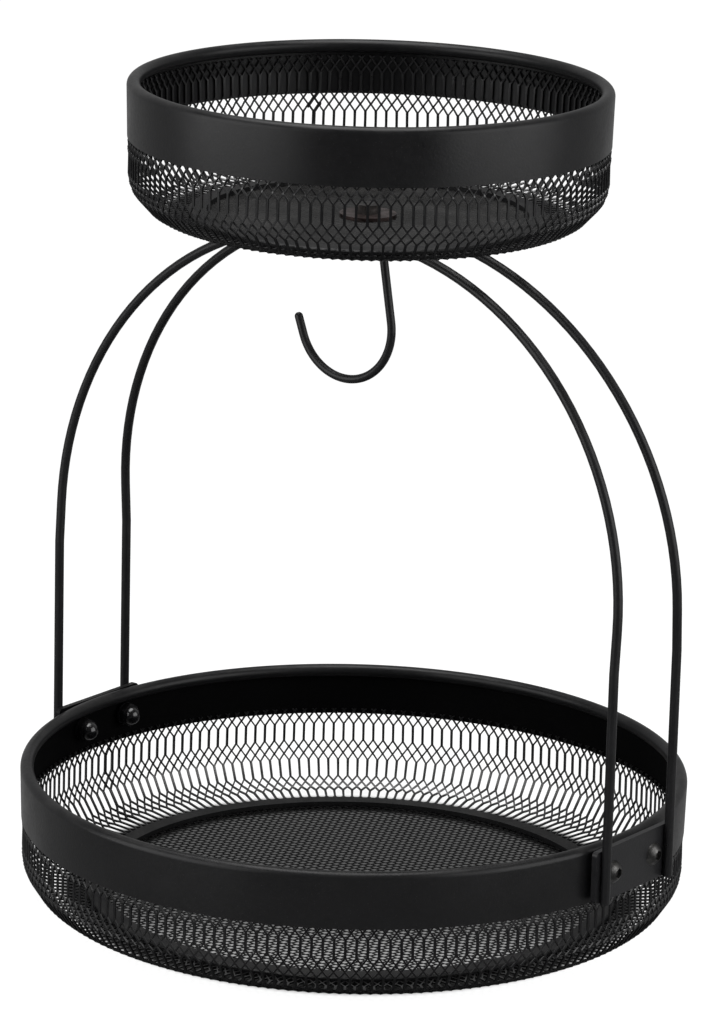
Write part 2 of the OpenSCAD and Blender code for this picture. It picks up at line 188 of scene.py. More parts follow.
def carry_round(angle: float, centre: Vector, axis: Vector, steps: int) -> None:
    """Carries the selected points round an arc, in edit mode.

    Args:
        angle: The arc's turn, in degrees, right-handed about the axis.
        centre: The arc's middle.
        axis: The arc's axis.
        steps: The number of steps.
    """
    bpy.ops.mesh.spin(steps=steps, angle=-math.radians(angle), center=centre, axis=axis)


def smooth(obj: Object, degrees: float) -> None:
    """Shades an object smooth, except over edges sharper than an angle.

    Args:
        obj: The object to shade.
        degrees: The angle.
    """
    make_active(obj)
    bpy.ops.object.shade_smooth_by_angle(angle=math.radians(degrees))


def new_cell(name: str) -> Object:
    """Starts an empty mesh for a flat cell.

    Args:
        name: The cell's name.

    Returns:
        The cell, in edit mode.
    """
    deselect_nodes()
    bpy.ops.object.add(type="MESH")
    cell = bpy.context.object
    cell.name = name
    bpy.ops.object.mode_set(mode="EDIT")
    return cell


def add_knot(cell: Object, middle: Vector, half_x: float, half_y: float, rise: float) -> None:
    """Adds the small diamond where four strands cross.

    Args:
        cell: The flat cell, in edit mode.
        middle: Its middle.
        half_x: Half its width.
        half_y: Half its height.
        rise: How far its upper corner rises and its lower one sinks.
    """
    bpy.ops.mesh.primitive_circle_add(vertices=4, radius=1.0, fill_type="NGON", location=middle)
    bpy.ops.transform.resize(value=(half_x, half_y, 1), center_override=middle)
    for side in (1, -1):
        pick(cell, Pick.VERT, near(middle + Vector((0, side * half_y, 0))))
        bpy.ops.transform.translate(value=(0, 0, side * rise))


def add_strand(cell: Object, start: Vector, finish: Vector) -> None:
    """Bridges two edges of a cell.

    Args:
        cell: The flat cell, in edit mode.
        start: The middle of one edge.
        finish: The middle of the other.
    """
    found = pick(cell, Pick.EDGE, near(start, finish))
    if found != 2:
        raise ValueError(f"{cell.name}: a strand found {found} edges")
    bpy.ops.mesh.bridge_edge_loops()


def finish_cell(cell: Object, spare: Callable[[Vector], bool]) -> None:
    """Deletes the faces that the next copy of a cell brings, and leaves edit mode.

    Args:
        cell: The flat cell, in edit mode.
        spare: Says whether the face with its middle at that point goes.
    """
    pick(cell, Pick.FACE, spare)
    bpy.ops.mesh.delete(type="ONLY_FACE")
    bpy.ops.mesh.select_mode(type="VERT")
    bpy.ops.mesh.select_all(action="SELECT")
    bpy.ops.mesh.delete_loose(use_verts=True, use_edges=True, use_faces=False)
    bpy.ops.object.mode_set(mode="OBJECT")


def repeat(obj: Object, count: int, step: Place) -> None:
    """Repeats a flat mesh along a line and merges the copies where they meet.

    Args:
        obj: The object.
        count: How many copies there are in the end.
        step: The way from one copy to the next.
    """
    apply_modifier(
        obj, "ARRAY", count=count, use_relative_offset=False, use_constant_offset=True,
        constant_offset_displace=step, use_merge_vertices=True, merge_threshold=CELL_MERGE,
    )


class NodeTree:
    """Short ways to add and wire shader nodes in one node tree."""

    def __init__(self, tree: bpy.types.NodeTree) -> None:
        """Wraps a node tree.

        Args:
            tree: The tree of a material, a world or a node group.
        """
        self.tree = tree

    def add(self, kind: str, settings: dict[str, object] | None = None, **inputs: object) -> Node:
        """Adds a node and sets or wires its inputs.

        Args:
            kind: The node's type.
            settings: Properties of the node itself.
            inputs: Values or output sockets, by the input's name with _ for a space, or by _ and
                its number.

        Returns:
            The new node.
        """
        node = self.tree.nodes.new(kind)
        for name, value in (settings or {}).items():
            setattr(node, name, value)
        for name, value in inputs.items():
            key = int(name[1:]) if name[1:].isdigit() else name.replace("_", " ")
            socket = node.inputs[key]
            if isinstance(value, NodeSocket):
                self.tree.links.new(value, socket)
            else:
                socket.default_value = value
        return node

    def math(
        self, operation: str, first: object, second: object, clamp: bool = False
    ) -> NodeSocket:
        """Adds a Math node.

        Args:
            operation: The operation's name.
            first: The first value or socket.
            second: The second value or socket.
            clamp: True to keep the result from 0 to 1.

        Returns:
            The result's socket.
        """
        settings = {"operation": operation, "use_clamp": clamp}
        return self.add("ShaderNodeMath", settings, _0=first, _1=second).outputs[0]

    def ramp(self, value: NodeSocket, low: float, high: float) -> NodeSocket:
        """Maps a value smoothly from low..high to 0..1.

        Args:
            value: The value's socket.
            low: The value that gives 0.
            high: The value that gives 1.

        Returns:
            The result's socket.
        """
        settings = {"interpolation_type": "SMOOTHSTEP"}
        return self.add("ShaderNodeMapRange", settings, Value=value, From_Min=low, From_Max=high).outputs[0]

    def noise(
        self, vector: object, scale: object, detail: float, roughness: float = 0.5
    ) -> NodeSocket:
        """Adds a noise texture and gives its value.

        Args:
            vector: The coordinates' socket.
            scale: How many features there are in a metre.
            detail: The number of octaves.
            roughness: How strong the finer octaves are.

        Returns:
            The value's socket.
        """
        settings = {"Vector": vector, "Scale": scale, "Detail": detail, "Roughness": roughness}
        return self.add("ShaderNodeTexNoise", None, **settings).outputs["Fac"]

    def mix(self, factor: object, first: object, second: object) -> NodeSocket:
        """Mixes two colours.

        Args:
            factor: The share of the second colour.
            first: The first colour or its socket.
            second: The second colour or its socket.

        Returns:
            The mixed colour's socket.
        """
        node = self.add("ShaderNodeMix", {"data_type": "RGBA"})
        for name, value in (("Factor_Float", factor), ("A_Color", first), ("B_Color", second)):
            socket = next(item for item in node.inputs if item.identifier == name)
            if isinstance(value, NodeSocket):
                self.tree.links.new(value, socket)
            else:
                socket.default_value = value
        return next(item for item in node.outputs if item.identifier == "Result_Color")


def opaque(colour: Colour) -> tuple[float, float, float, float]:
    """A colour with full alpha."""
    return (*colour, 1.0)


def new_material(name: str) -> tuple[Material, NodeTree]:
    """Makes a material with an empty node tree.

    Args:
        name: The material's name.

    Returns:
        The material and its tree.
    """
    made = bpy.data.materials.new(name)
    made.use_nodes = True
    made.node_tree.nodes.clear()
    return made, NodeTree(made.node_tree)


class Effect(Enum):
    """The effects that several finishes share, each one node group."""

    COAT = "baked_coat"
    DUST = "settled_dust"
    TOOLING = "tool_marks"


def new_group(effect: Effect, inputs: dict[str, float | Colour], outputs: dict[str, str]) -> NodeTree:
    """Makes an empty node group with its sockets.

    Args:
        effect: The effect that the group gives.
        inputs: Each input's name and its value, where three numbers are a colour or a vector.
        outputs: Each output's name and its socket type.

    Returns:
        The group's tree, with its input and output nodes.
    """
    group = bpy.data.node_groups.new(effect.value, "ShaderNodeTree")
    for name, value in inputs.items():
        if isinstance(value, float):
            kind = "NodeSocketFloat"
        elif name == "Vector":
            kind = "NodeSocketVector"
        else:
            kind = "NodeSocketColor"
        socket = group.interface.new_socket(name=name, in_out="INPUT", socket_type=kind)
        if kind != "NodeSocketVector":
            socket.default_value = opaque(value) if kind == "NodeSocketColor" else value
    for name, kind in outputs.items():
        group.interface.new_socket(name=name, in_out="OUTPUT", socket_type=kind)
    return NodeTree(group)


class Effects:
    """Builds each shared effect's node group once.

    The values say how strongly a pattern shows in the colour, the gloss or the mask.
    """

    patch_share: float = 0.65
    mottle_gain: float = 4.0
    patch_gloss: float = 0.22
    grain_gloss: float = 0.16
    film_strength: float = 0.45
    stain_share: float = 0.7
    line_gloss: float = 0.2
    stain_gloss: float = -0.1
    bare_gloss: float = 0.3

    def __init__(self) -> None:
        """Builds all the groups."""
        self.groups = {
            Effect.COAT: self._coat(),
            Effect.DUST: self._dust(),
            Effect.TOOLING: self._tooling(),
        }

    def _coat(self) -> bpy.types.NodeTree:
        """Baked enamel: slow mottling, fine orange peel and a varying gloss.

        Returns:
            The group.
        """
        coat = new_group(
            Effect.COAT,
            {"Vector": (0.0,) * 3, "Colour": (0.02,) * 3, "Mottle": 0.2, "Gloss": 0.4, "Peel": 900.0},
            {"Colour": "NodeSocketColor", "Roughness": "NodeSocketFloat", "Height": "NodeSocketFloat"},
        )
        given = coat.add("NodeGroupInput").outputs
        patches = coat.noise(given["Vector"], scale=38.0, detail=3.0)
        grains = coat.noise(given["Vector"], scale=520.0, detail=2.0)
        slow = coat.math("MULTIPLY", patches, self.patch_share)
        shade = coat.math("ADD", slow, coat.math("MULTIPLY", grains, 1 - self.patch_share))
        lift = coat.math("MULTIPLY", coat.math("SUBTRACT", shade, 0.5), given["Mottle"])
        level = coat.math("ADD", coat.math("MULTIPLY", lift, self.mottle_gain), 1.0)
        scaled = coat.add("ShaderNodeVectorMath", {"operation": "SCALE"}, _0=given["Colour"], Scale=level)
        swing = coat.math("MULTIPLY", coat.math("SUBTRACT", patches, 0.5), self.patch_gloss)
        fine = coat.math("MULTIPLY", coat.math("SUBTRACT", grains, 0.5), self.grain_gloss)
        rough = coat.math("ADD", given["Gloss"], coat.math("ADD", swing, fine), clamp=True)
        peel = coat.noise(given["Vector"], given["Peel"], detail=2.0, roughness=0.45)
        coat.add("NodeGroupOutput", None, Colour=scaled.outputs[0], Roughness=rough, Height=peel)
        return coat.tree

    def _dust(self) -> bpy.types.NodeTree:
        """Fine dust and lint specks, most on what faces up.

        Returns:
            The group.
        """
        dust = new_group(Effect.DUST, {"Vector": (0.0,) * 3, "Amount": 0.5}, {"Mask": "NodeSocketFloat"})
        given = dust.add("NodeGroupInput").outputs
        normal = dust.add("ShaderNodeNewGeometry").outputs["Normal"]
        upward = dust.add("ShaderNodeSeparateXYZ", None, Vector=normal).outputs["Z"]
        facing_up = dust.ramp(upward, low=0.1, high=1.0)
        slow = dust.noise(given["Vector"], scale=60.0, detail=4.0, roughness=0.6)
        clouds = dust.ramp(slow, low=0.35, high=0.75)
        specks = dust.ramp(dust.noise(given["Vector"], scale=2600.0, detail=1.0), low=0.70, high=0.78)
        film = dust.math("MULTIPLY", dust.math("MULTIPLY", facing_up, clouds), self.film_strength)
        mask = dust.math("MULTIPLY", dust.math("ADD", film, specks), given["Amount"], clamp=True)
        dust.add("NodeGroupOutput", None, Mask=mask)
        return dust.tree

    def _tooling(self) -> bpy.types.NodeTree:
        """Fine marks of machining and handling on bare or blackened steel.

        Returns:
            The group.
        """
        dark, light = (0.05, 0.045, 0.04), (0.2, 0.18, 0.16)
        marks = new_group(
            Effect.TOOLING,
            {"Vector": (0.0,) * 3, "Dark": dark, "Light": light, "Fineness": 1500.0},
            {"Colour": "NodeSocketColor", "Roughness": "NodeSocketFloat", "Height": "NodeSocketFloat"},
        )
        given = marks.add("NodeGroupInput").outputs
        stretched = marks.add("ShaderNodeMapping", None, Vector=given["Vector"], Scale=(1.0, 1.0, 6.0))
        lines = marks.noise(stretched.outputs[0], given["Fineness"], detail=2.0)
        slow = marks.noise(given["Vector"], scale=240.0, detail=4.0, roughness=0.6)
        stains = marks.ramp(slow, low=0.35, high=0.7)
        stained = marks.math("MULTIPLY", stains, self.stain_share)
        share = marks.math("ADD", stained, marks.math("MULTIPLY", lines, 1 - self.stain_share))
        colour = marks.mix(share, given["Dark"], given["Light"])
        lined = marks.math("MULTIPLY", lines, self.line_gloss)
        swing = marks.math("ADD", lined, marks.math("MULTIPLY", stains, self.stain_gloss))
        rough = marks.math("ADD", swing, self.bare_gloss)
        marks.add("NodeGroupOutput", None, Colour=colour, Roughness=rough, Height=lines)
        return marks.tree


@dataclass(frozen=True)
class EnamelFinish:
    """Black enamel baked on steel."""

    name: str
    colour: Colour
    gloss: float
    mottle: float = 0.22
    peel: float = 900.0
    peel_depth: float = 0.05
    dust: float = 0.12
    dust_roughness: float = 0.4
    specular: float = 0.25
    coat: float = 0.0
    coat_roughness: float = 0.12

    def material(self, effects: Effects) -> Material:
        """Makes the finish's material.

        Args:
            effects: The shared node groups.

        Returns:
            The material.
        """
        made, tree = new_material(self.name)
        place = tree.add("ShaderNodeTexCoord").outputs["Object"]
        coat = tree.add(
            "ShaderNodeGroup",
            {"node_tree": effects.groups[Effect.COAT]},
            Vector=place,
            Colour=opaque(self.colour),
            Mottle=self.mottle,
            Gloss=self.gloss,
            Peel=self.peel,
        )
        dust = tree.add(
            "ShaderNodeGroup", {"node_tree": effects.groups[Effect.DUST]}, Vector=place, Amount=self.dust
        )
        colour = tree.mix(dust.outputs["Mask"], coat.outputs["Colour"], opaque(DUST_COLOUR))
        dull = tree.math("MULTIPLY", dust.outputs["Mask"], self.dust_roughness)
        rough = tree.math("ADD", coat.outputs["Roughness"], dull, clamp=True)
        height = coat.outputs["Height"]
        bump = tree.add("ShaderNodeBump", None, Strength=self.peel_depth, Distance=MM, Height=height)
        shader = tree.add(
            "ShaderNodeBsdfPrincipled",
            None,
            Base_Color=colour,
            Roughness=rough,
            Normal=bump.outputs["Normal"],
            Specular_IOR_Level=self.specular,
            Coat_Weight=self.coat,
            Coat_Roughness=self.coat_roughness,
        )
        tree.add("ShaderNodeOutputMaterial", None, Surface=shader.outputs["BSDF"])
        return made


@dataclass(frozen=True)
class SteelFinish:
    """Blackened or browned steel of a screw or bolt."""

    name: str
    dark: Colour
    light: Colour
    fineness: float = 1500.0
    metallic: float = 0.85
    mark_strength: float = 0.12
    mark_depth: float = 0.0004

    def material(self, effects: Effects) -> Material:
        """Makes the finish's material.

        Args:
            effects: The shared node groups.

        Returns:
            The material.
        """
        made, tree = new_material(self.name)
        place = tree.add("ShaderNodeTexCoord").outputs["Object"]
        marks = tree.add(
            "ShaderNodeGroup",
            {"node_tree": effects.groups[Effect.TOOLING]},
            Vector=place,
            Dark=opaque(self.dark),
            Light=opaque(self.light),
            Fineness=self.fineness,
        )
        bump = tree.add(
            "ShaderNodeBump",
            None,
            Strength=self.mark_strength,
            Distance=self.mark_depth,
            Height=marks.outputs["Height"],
        )
        shader = tree.add(
            "ShaderNodeBsdfPrincipled",
            None,
            Base_Color=marks.outputs["Colour"],
            Roughness=marks.outputs["Roughness"],
            Metallic=self.metallic,
            Normal=bump.outputs["Normal"],
        )
        tree.add("ShaderNodeOutputMaterial", None, Surface=shader.outputs["BSDF"])
        return made


BAND_ENAMEL = EnamelFinish("band_enamel", (0.0040, 0.0040, 0.0043), 0.36, specular=0.14)
# A near-black copy of the band's enamel for the lower band's inner face: painted shade inside the bowl.
SHADED_INSIDE_ENAMEL = EnamelFinish("painted_shade_inside_enamel", (0.0012, 0.0012, 0.0013), 0.5, dust=0.02, specular=0.02)
# The wall's outer faces take a darker, less glossy copy of the enamel, which is painted shade. Its inner
# and upward faces take a lighter, glossier copy, which is painted light.
SHADED_MESH_ENAMEL = EnamelFinish("shaded_mesh_enamel", (0.0036, 0.0036, 0.0039), 0.40, peel=1400.0, specular=0.10)
LIT_INNER_MESH_ENAMEL = EnamelFinish("lit_inner_mesh_enamel", (0.0055, 0.0055, 0.0059), 0.32, peel=1400.0, specular=0.5)
# The lower floor's darker copy of the enamel is painted shade under the upper bowl. The upper floor's
# lighter, glossier copy is painted light.
SHADED_LOW_FLOOR_ENAMEL = EnamelFinish(
    "shaded_low_floor_enamel", (0.0030, 0.0030, 0.0032), 0.45, peel=1400.0, specular=0.07
)
LIT_HIGH_FLOOR_ENAMEL = EnamelFinish(
    "lit_high_floor_enamel", (0.0055, 0.0054, 0.0054), 0.26, peel=1400.0, specular=0.20
)
RING_ENAMEL = EnamelFinish("ring_enamel", (0.0048, 0.0048, 0.0051), 0.42, specular=0.10)
WIRE_ENAMEL = EnamelFinish("wire_enamel", (0.0045, 0.0045, 0.0049), 0.34, specular=0.16)
# The right plate's lighter copy of the plate enamel is painted light on the side that faces the light. The
# darker copy on the left and crown plates is painted shade.
PLATE_ENAMEL = EnamelFinish("plate_enamel", (0.0078, 0.0078, 0.0084), 0.34, specular=0.15)
SHADED_PLATE_ENAMEL = EnamelFinish("painted_shade_plate_enamel", (0.0035, 0.0035, 0.0038), 0.34, specular=0.06)
NUT_ENAMEL = EnamelFinish("nut_enamel", (0.0025, 0.0025, 0.0028), 0.16, mottle=0.15, specular=0.3, coat=0.3)
SCREW_STEEL = SteelFinish("screw_steel", (0.009, 0.0089, 0.0088), (0.078, 0.0765, 0.074))
BOLT_STEEL = SteelFinish("bolt_steel", (0.004, 0.0038, 0.0037), (0.070, 0.064, 0.061), metallic=1.0)
WASHER_STEEL = SteelFinish("washer_steel", (0.018, 0.0125, 0.012), (0.088, 0.063, 0.060))


@dataclass
class RimBand:
    """The plain band along a bowl's top: a slightly tapered sheet with its top edge rolled inwards.

    The distance at which points merge is in metres.
    """

    tier: Tier
    rim_r: float
    base_z: float
    bowl_h: float = 61.5
    band_h: float = 25.2
    sheet_t: float = 0.6
    draft: float = 0.5
    roll_r: float = 3.0
    roll_turn: float = 285.0
    roll_steps: int = 24
    steps: int = 288
    skin: float = 0.1
    merge: float = 0.000002
    smooth_angle: float = 40.0

    @property
    def bottom_z(self) -> float:
        """Height of the band's lower edge."""
        return self.base_z + self.bowl_h - self.band_h

    @property
    def roll_z(self) -> float:
        """Height of the roll's middle."""
        return self.base_z + self.bowl_h - self.roll_r

    def outline(self) -> Object:
        """The band's cross-section as a closed line, in millimetres.

        Returns:
            The object, left in edit mode.
        """
        deselect_nodes()
        start = Vector((self.rim_r - self.draft, 0, self.bottom_z))
        bpy.ops.mesh.primitive_plane_add(size=1.0, location=start)
        band = bpy.context.object
        bpy.ops.object.transform_apply(location=True, rotation=True, scale=True)
        bpy.ops.object.mode_set(mode="EDIT")
        bpy.ops.mesh.select_mode(type="VERT")
        bpy.ops.mesh.select_all(action="SELECT")
        bpy.ops.mesh.merge(type="CENTER")
        up = Vector((self.draft, 0, self.roll_z - self.bottom_z))
        bpy.ops.mesh.extrude_vertices_move(TRANSFORM_OT_translate={"value": up})
        centre = Vector((self.rim_r - self.roll_r, 0, self.roll_z))
        axis = Vector((0, -1, 0))
        carry_round(self.roll_turn, centre, axis, self.roll_steps)
        end = math.radians(self.roll_turn)
        inwards = -self.sheet_t * Vector((math.cos(end), 0, math.sin(end)))
        bpy.ops.mesh.extrude_vertices_move(TRANSFORM_OT_translate={"value": inwards})
        carry_round(-self.roll_turn, centre, axis, self.roll_steps)
        bpy.ops.mesh.extrude_vertices_move(TRANSFORM_OT_translate={"value": -up})
        pick(band, Pick.VERT, near(start, start - Vector((self.sheet_t, 0, 0))))
        bpy.ops.mesh.edge_face_add()
        return band

    def is_inside(self, middle: Vector) -> bool:
        """Whether a face of the finished band is on the side that the bowl holds.

        Args:
            middle: The face's middle, in metres.

        Returns:
            True for the sheet's inner face, under the roll.
        """
        r, z = math.hypot(middle.x, middle.y) / MM, middle.z / MM
        drafted = self.draft * (self.roll_z - z) / (self.roll_z - self.bottom_z)
        middle_r = self.rim_r - self.sheet_t / 2 - drafted
        return z < self.roll_z and self.rim_r - self.roll_r < r < middle_r - self.skin

    def build(self) -> Object:
        """Turns the cross-section once round the bowl's axis.

        Returns:
            The band, in place, with its inner face in a second material slot.
        """
        band = self.outline()
        bpy.ops.mesh.select_all(action="SELECT")
        carry_round(360, Vector(), Vector((0, 0, 1)), self.steps)
        bpy.ops.object.mode_set(mode="OBJECT")
        move_points(band, lambda point: point * MM)
        weld_and_face_out(band, self.merge)
        smooth(band, self.smooth_angle)
        # Faces inside the band go to the second slot, which the lower band fills with a near-black copy of
        # its enamel as painted shade.
        for face in band.data.polygons:
            face.material_index = int(self.is_inside(face.center))
        band.name = self.tier.value + "_band_rolled"
        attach(band, "root")
        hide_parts(self.tier.value + "_rim_band")
        return band


@dataclass
class Strands:
    """Half widths and half heights of knots and bars, with the strands' relief and thickness.

    The crotch is the share of the relief that a bar's end has.
    """

    knot_x: float = 0.42
    knot_y: float = 0.57
    bar_x: float = 0.56
    shoulder: float = 0.195
    relief: float = 0.24
    crotch: float = 0.6
    thickness: float = 0.75


@dataclass
class MeshWall:
    """The bent wall of one bowl: bars and double rows of diamonds, from the band to the base ring."""

    band: RimBand
    flange_r: float
    columns: int
    first_angle: float
    first_row: float
    tuck: float
    way: float
    seam_column: float
    bend_r: float
    sheet_t: float = 0.6
    foot_t: float = 1.2
    bar_l: float = 7.9
    step_l: float = 3.3
    tuck_depth: float = 0.32
    tuck_step: float = 0.5
    flange_step: float = 3.0
    lap_x: float = 0.35
    lap_y: float = -0.25
    lap_out: float = -0.62
    # Faces whose normal rises more than this take the lighter copy of the enamel: painted light from above.
    facing_up: float = 0.5
    strands: Strands = field(default_factory=Strands)

    @property
    def tier(self) -> Tier:
        """The bowl that the wall belongs to."""
        return self.band.tier

    @property
    def wall_r(self) -> float:
        """Radius of the middle of the upright sheet."""
        return self.band.rim_r - self.band.draft - self.band.sheet_t - self.sheet_t / 2

    @property
    def bend(self) -> float:
        """Radius of the bend of the sheet's middle."""
        return self.bend_r - self.sheet_t / 2

    @property
    def upright(self) -> float:
        """Distance down the sheet from the band to the bend."""
        return self.band.bowl_h - self.band.band_h - self.foot_t - self.bend_r

    @property
    def pitch(self) -> float:
        """Distance from one column to the next, on the upright sheet."""
        return 2 * math.pi * self.wall_r / self.columns

    @property
    def period(self) -> float:
        """Distance down the sheet from one row of bars to the next."""
        return self.bar_l + 3 * self.step_l

    @property
    def rows_above(self) -> int:
        """How many periods of the pattern start above the first row to fill the tuck inside the band."""
        return math.ceil((self.tuck + self.first_row) / self.period)

    @property
    def flange_l(self) -> float:
        """Distance down the sheet from the band to the flange's edge under the ring."""
        return self.upright + self.bend * math.pi / 2 + self.wall_r - self.bend - self.flange_r

    def on_bowl(self, angle: float, down: float, out: float) -> Vector:
        """A point of the sheet in place.

        Args:
            angle: Angle round the bowl from +X, in radians.
            down: Distance down the sheet from the band's lower edge; above it, less than 0.
            out: Distance out of the sheet's middle.

        Returns:
            The point, in metres.
        """
        band, bend, upright = self.band, self.bend, self.upright
        band_bottom = band.bowl_h - band.band_h
        arc = bend * math.pi / 2
        if down < 0:
            r = self.wall_r - self.tuck_depth * min(1.0, -down / self.tuck_step) + out
            r += band.draft * -down / (band.band_h - band.roll_r)
            z = band_bottom - down
        elif down < upright:
            r = self.wall_r + out
            z = band_bottom - down
        elif down < upright + arc:
            turn = (down - upright) / bend
            r = self.wall_r - bend + (bend + out) * math.cos(turn)
            z = self.foot_t + self.bend_r - (bend + out) * math.sin(turn)
        else:
            along = down - upright - arc
            r = self.wall_r - bend - along
            z = self.foot_t + self.sheet_t / 2 - out * max(0.0, 1 - along / self.flange_step)
        return Vector((r * math.cos(angle), r * math.sin(angle), band.base_z + z)) * MM

    def add_bar(self, sheet: Object, x: float, y: float) -> None:
        """Adds a bar, two quads wide, with its crotches drawn out up and down.

        Args:
            sheet: The flat sheet, in edit mode.
            x: Place of the bar's axis.
            y: Place of its top, where the strands' middles meet.
        """
        s = self.strands
        middle = (x, y - self.bar_l / 2, 0)
        size = (2 * s.bar_x, self.bar_l + 2 * s.shoulder, 1)
        bpy.ops.mesh.primitive_grid_add(x_subdivisions=2, y_subdivisions=1, size=1.0, location=middle)
        bpy.ops.transform.resize(value=size, center_override=middle)
        for side in (1, -1):
            end = y - self.bar_l / 2 + side * (self.bar_l / 2 + s.shoulder)
            pick(sheet, Pick.VERT, near(Vector((x, end, 0))))
            lift = (0, side * (s.knot_y - s.shoulder), -side * s.relief * s.crotch)
            bpy.ops.transform.translate(value=lift)

    def flat_cell(self) -> Object:
        """One column of one period: a bar, two knots and six strands.

        Returns:
            The cell, flat, in millimetres.
        """
        s = self.strands
        half = self.pitch / 2
        cell = new_cell(self.tier.value + "_wall_cell")
        low = -self.bar_l - self.step_l
        lower = low - self.step_l
        end = lower - self.step_l
        self.add_bar(cell, 0, 0)
        for x, y in ((half, low), (-half, low), (0, lower), (2 * half, lower)):
            add_knot(cell, Vector((x, y, 0)), s.knot_x, s.knot_y, -s.relief)
        for x in (half, -half):
            self.add_bar(cell, x, end)
        corner = Vector((s.bar_x / 2, (s.knot_y + s.shoulder) / 2, -s.relief * s.crotch / 2))
        flank = Vector((s.knot_x / 2, s.knot_y / 2, -s.relief / 2))

        def at(x: float, y: float, way: int, side: int, offset: Vector) -> Vector:
            """Middle of the edge that a strand leaves from, way right or left and side up or down."""
            return Vector((x + way * offset.x, y + side * offset.y, side * offset.z))

        joins = (
            (at(0, -self.bar_l, 1, -1, corner), at(half, low, -1, 1, flank)),
            (at(0, -self.bar_l, -1, -1, corner), at(-half, low, 1, 1, flank)),
            (at(half, low, -1, -1, flank), at(0, lower, 1, 1, flank)),
            (at(half, low, 1, -1, flank), at(2 * half, lower, -1, 1, flank)),
            (at(0, lower, 1, -1, flank), at(half, end, -1, 1, corner)),
            (at(0, lower, -1, -1, flank), at(-half, end, 1, 1, corner)),
        )
        for start, finish in joins:
            add_strand(cell, start, finish)
        at_spare = near(Vector((-half, low, 0)), Vector((2 * half, lower, 0)), reach=KNOT_REACH)
        finish_cell(cell, lambda point: at_spare(point) or point.y < end - s.shoulder)
        return cell

    def flat_sheet(self, columns: int) -> Object:
        """A flat sheet of many columns, cut off level at the tuck's top and at the flange's edge.

        Args:
            columns: The number of columns.

        Returns:
            The sheet, in millimetres, with the band's lower edge along y 0.
        """
        sheet = self.flat_cell()
        row_y = self.rows_above * self.period - self.first_row
        move_points(sheet, lambda point: point + Vector((0, row_y, 0)))
        repeat(sheet, columns, (self.pitch, 0, 0))
        repeat(sheet, self.rows_above + 3, (self.pitch / 2, -self.period, 0))
        make_active(sheet)
        bpy.ops.object.mode_set(mode="EDIT")
        for level, side in ((self.tuck, 1), (-self.flange_l, -1)):
            bpy.ops.mesh.select_all(action="SELECT")
            bpy.ops.mesh.bisect(plane_co=(0, level, 0), plane_no=(0, side, 0), clear_outer=True)
        bpy.ops.object.mode_set(mode="OBJECT")
        return sheet

    def wrap(self, sheet: Object, angle: float, out: float) -> None:
        """Bends a flat sheet round the bowl.

        Args:
            sheet: The flat sheet.
            angle: Where the first column goes, in degrees.
            out: How far the sheet lies outside the wall's middle.
        """
        start = math.radians(angle)
        move_points(
            sheet,
            lambda point: self.on_bowl(start + self.way * point.x / self.wall_r, -point.y, point.z + out),
        )

    def seam_strip(self) -> Object:
        """The strip of doubled sheet along the seam: one column with a bar down each side.

        Returns:
            The strip, in millimetres, a little off the pattern that it covers.
        """
        strip = self.flat_sheet(math.ceil(self.seam_column) + self.rows_above + 2)
        middle = (self.seam_column + self.rows_above / 2) * self.pitch
        reach = self.pitch / 2 + self.strands.bar_x
        make_active(strip)
        bpy.ops.object.mode_set(mode="EDIT")
        for side in (1, -1):
            bpy.ops.mesh.select_all(action="SELECT")
            edge = (middle + side * reach, 0, 0)
            bpy.ops.mesh.bisect(plane_co=edge, plane_no=(side, 0, 0), clear_outer=True)
        bpy.ops.object.mode_set(mode="OBJECT")
        move_points(strip, lambda point: point + Vector((self.lap_x, self.lap_y, 0)))
        return strip

    def build(self) -> Object:
        """Makes the wall with its lapped seam.

        Returns:
            The wall, in place.
        """
        wall = self.flat_sheet(self.columns)
        half = math.degrees(self.pitch / self.wall_r) / 2
        start = self.first_angle - self.way * self.rows_above * half
        self.wrap(wall, start, 0.0)
        lap = self.seam_strip()
        self.wrap(lap, start, self.lap_out)
        deselect_nodes()
        lap.select_set(True)
        wall.select_set(True)
        bpy.context.view_layer.objects.active = wall
        bpy.ops.object.join()
        weld_and_face_out(wall, MESH_MERGE)
        apply_modifier(wall, "SOLIDIFY", thickness=self.strands.thickness * MM, offset=0.0, use_rim=True)
        smooth(wall, MESH_SMOOTH)
        # Inward and upward faces take the second slot, the lighter copy, as painted light. The rest keep
        # the darker copy as painted shade.
        for face in wall.data.polygons:
            outwards = face.center.x * face.normal.x + face.center.y * face.normal.y
            face.material_index = int(outwards < 0 or face.normal.z > self.facing_up)
        wall.name = self.tier.value + "_wall_mesh"
        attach(wall, "root")
        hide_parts(self.tier.value + "_mesh_wall")
        return wall


